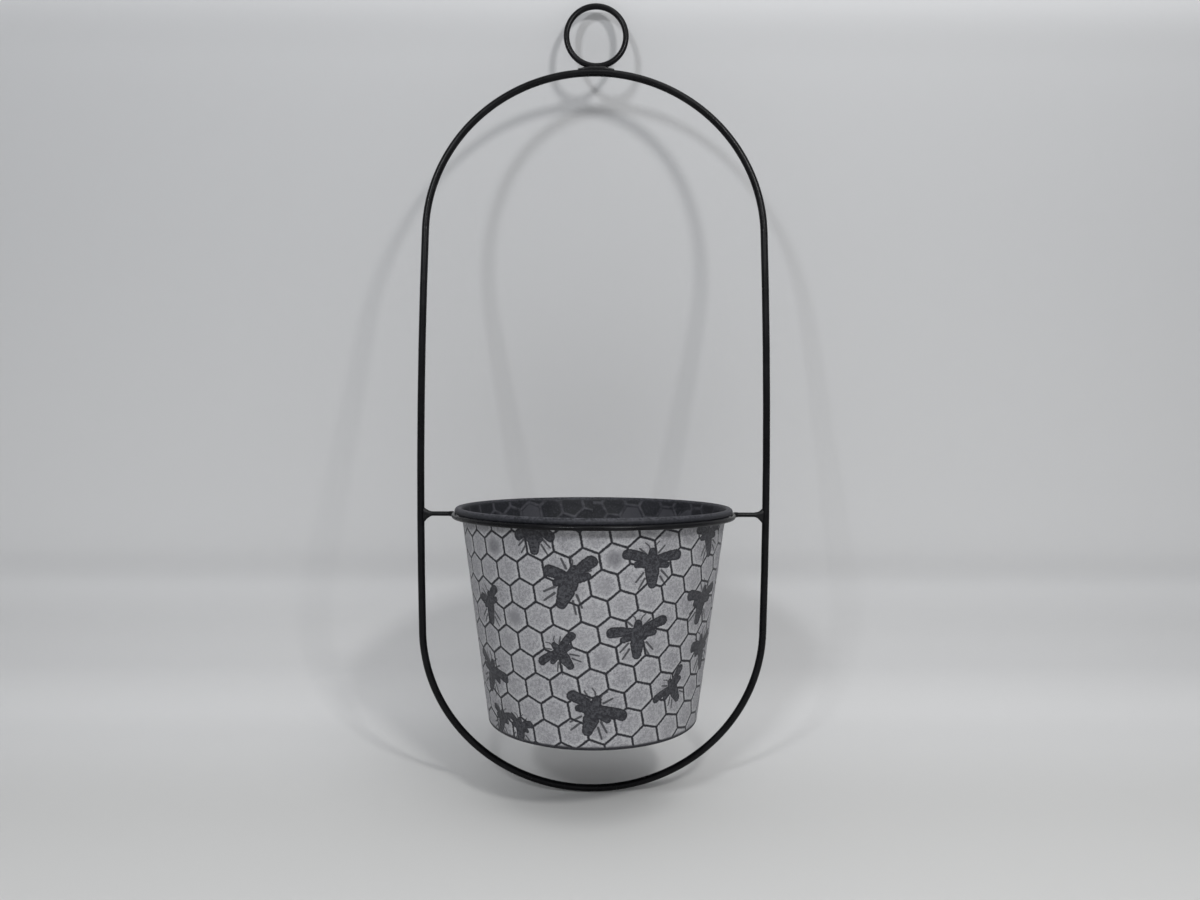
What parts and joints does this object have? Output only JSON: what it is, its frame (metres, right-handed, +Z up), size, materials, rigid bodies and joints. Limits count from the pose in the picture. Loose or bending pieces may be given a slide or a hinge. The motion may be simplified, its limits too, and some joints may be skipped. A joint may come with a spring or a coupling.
{
  "type": "wall planter",
  "caption": "Hanging wall planter: a tall wire hoop with a hanging ring on top carries a round tapered sheet-metal pot in a horizontal ring held by short arms.",
  "frame": {"origin": "the point inside the top of the hanging ring where a nail or hook bears", "axes": "+Z up, +X to the right seen from the front, the front faces -Y and the wall is on the +Y side"},
  "size_m": [0.245, 0.1952, 0.5463],
  "materials": {
    "black_paint": "black powder coat, satin, over welded steel wire",
    "pot_outside": "embossed sheet steel, dark grey with a worn pale wash on the raised cells outside",
    "pot_grey": "dark grey paint, satin",
    "bare_wire": "galvanised, out of sight inside the rolled rim"
  },
  "bodies": {
    "frame": {"hoop": "black_paint", "hanging_ring": "black_paint", "hanging_ring_weld": "black_paint", "left_arm": "black_paint", "right_arm": "black_paint", "left_hoop_weld": "black_paint", "right_hoop_weld": "black_paint", "left_ring_weld": "black_paint", "right_ring_weld": "black_paint", "pot_ring": "black_paint"},
    "pot": {"pot_wall": "pot_outside", "pot_base": "pot_grey", "rim_wire": "bare_wire"}
  },
  "joints": [
    {"name": "pot_lift", "type": "slide", "parent": "frame", "child": "pot", "axis": [0, 0, 1], "range_m": [0, 0.16]}
  ]
}
